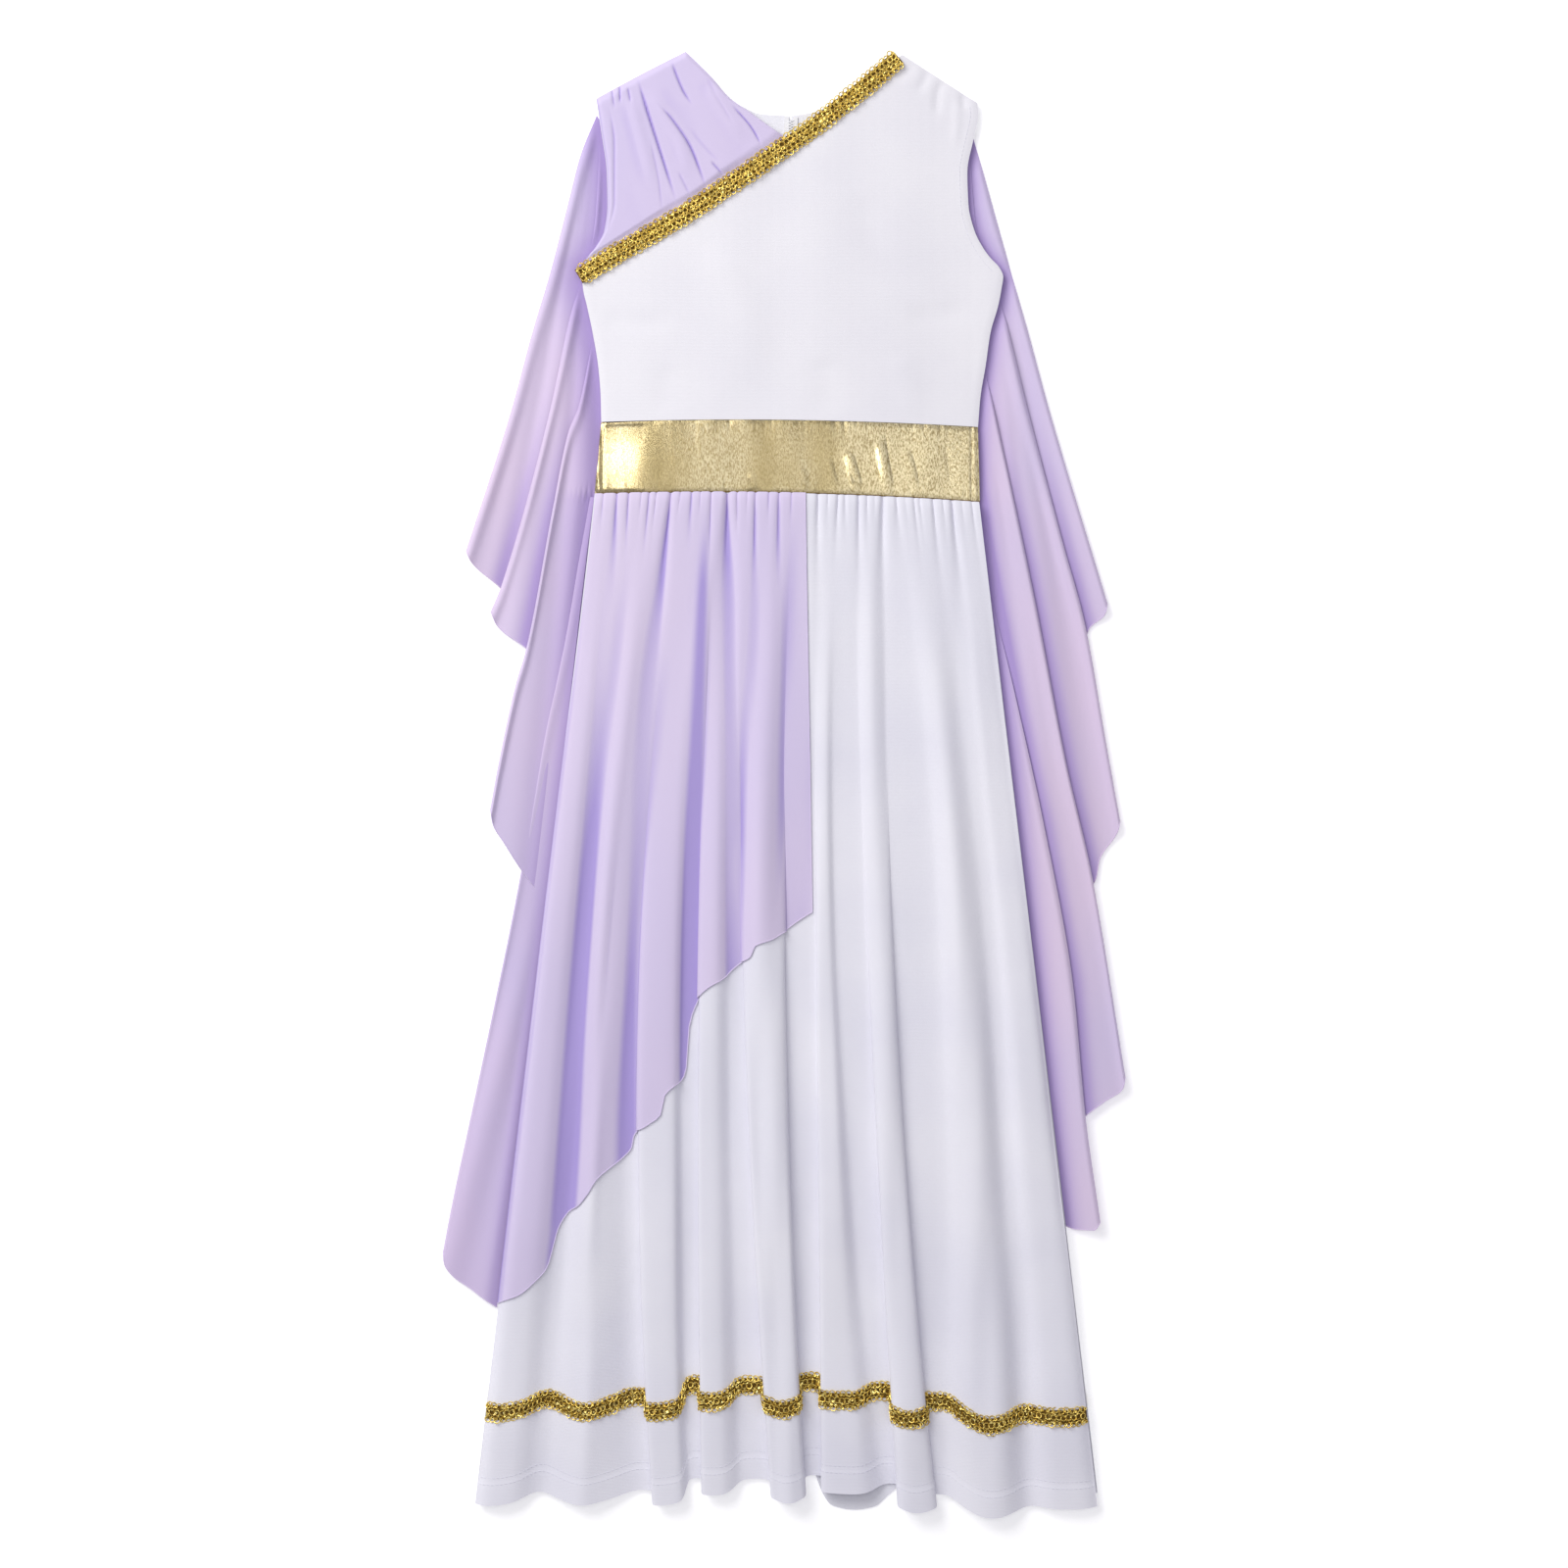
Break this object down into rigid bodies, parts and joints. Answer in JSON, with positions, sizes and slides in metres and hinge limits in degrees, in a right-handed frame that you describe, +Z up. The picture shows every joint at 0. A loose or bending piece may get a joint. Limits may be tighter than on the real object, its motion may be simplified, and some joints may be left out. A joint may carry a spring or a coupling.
{
  "type": "toga costume dress",
  "caption": "Girl's sleeveless long toga dress laid flat: white gathered skirt, lilac chiffon over one shoulder, half the skirt and the back, gold waistband and braid",
  "frame": {"origin": "on the surface that the garment lies on, under the middle of its bounding box", "axes": "+X to the right of the front view, +Y from the hem towards the shoulders, +Z up out of the front"},
  "size_m": [0.542, 1.1672, 0.0187],
  "materials": {
    "white_knit": "white stretch knit with a fine vertical rib, matt, soft folds",
    "lilac_chiffon": "lilac chiffon, fine plain weave, slightly see-through, soft sheen",
    "gold_lame": "pale gold foil on stretch knit, metallic shine with upright wrinkles",
    "gold_braid": "woven metallic gold braid with looped edges and small sequins",
    "zip_white": "white woven zip tape",
    "zip_slider": "white painted zip slider, gloss"
  },
  "bodies": {
    "root": {"bodice_front": "white_knit", "bodice_back_left": "white_knit", "bodice_back_right": "white_knit", "skirt_front": "white_knit", "skirt_back": "white_knit", "chest_overlay": "lilac_chiffon", "skirt_overlay": "lilac_chiffon", "skirt_overlay_side": "lilac_chiffon", "back_drape": "lilac_chiffon", "waistband_front": "gold_lame", "waistband_back_left": "gold_lame", "waistband_back_right": "gold_lame", "chest_braid": "gold_braid", "hem_braid_front": "gold_braid", "hem_braid_back": "gold_braid", "zip_tape_left": "zip_white", "zip_tape_right": "zip_white", "zip_slider": "zip_slider"}
  },
  "joints": []
}
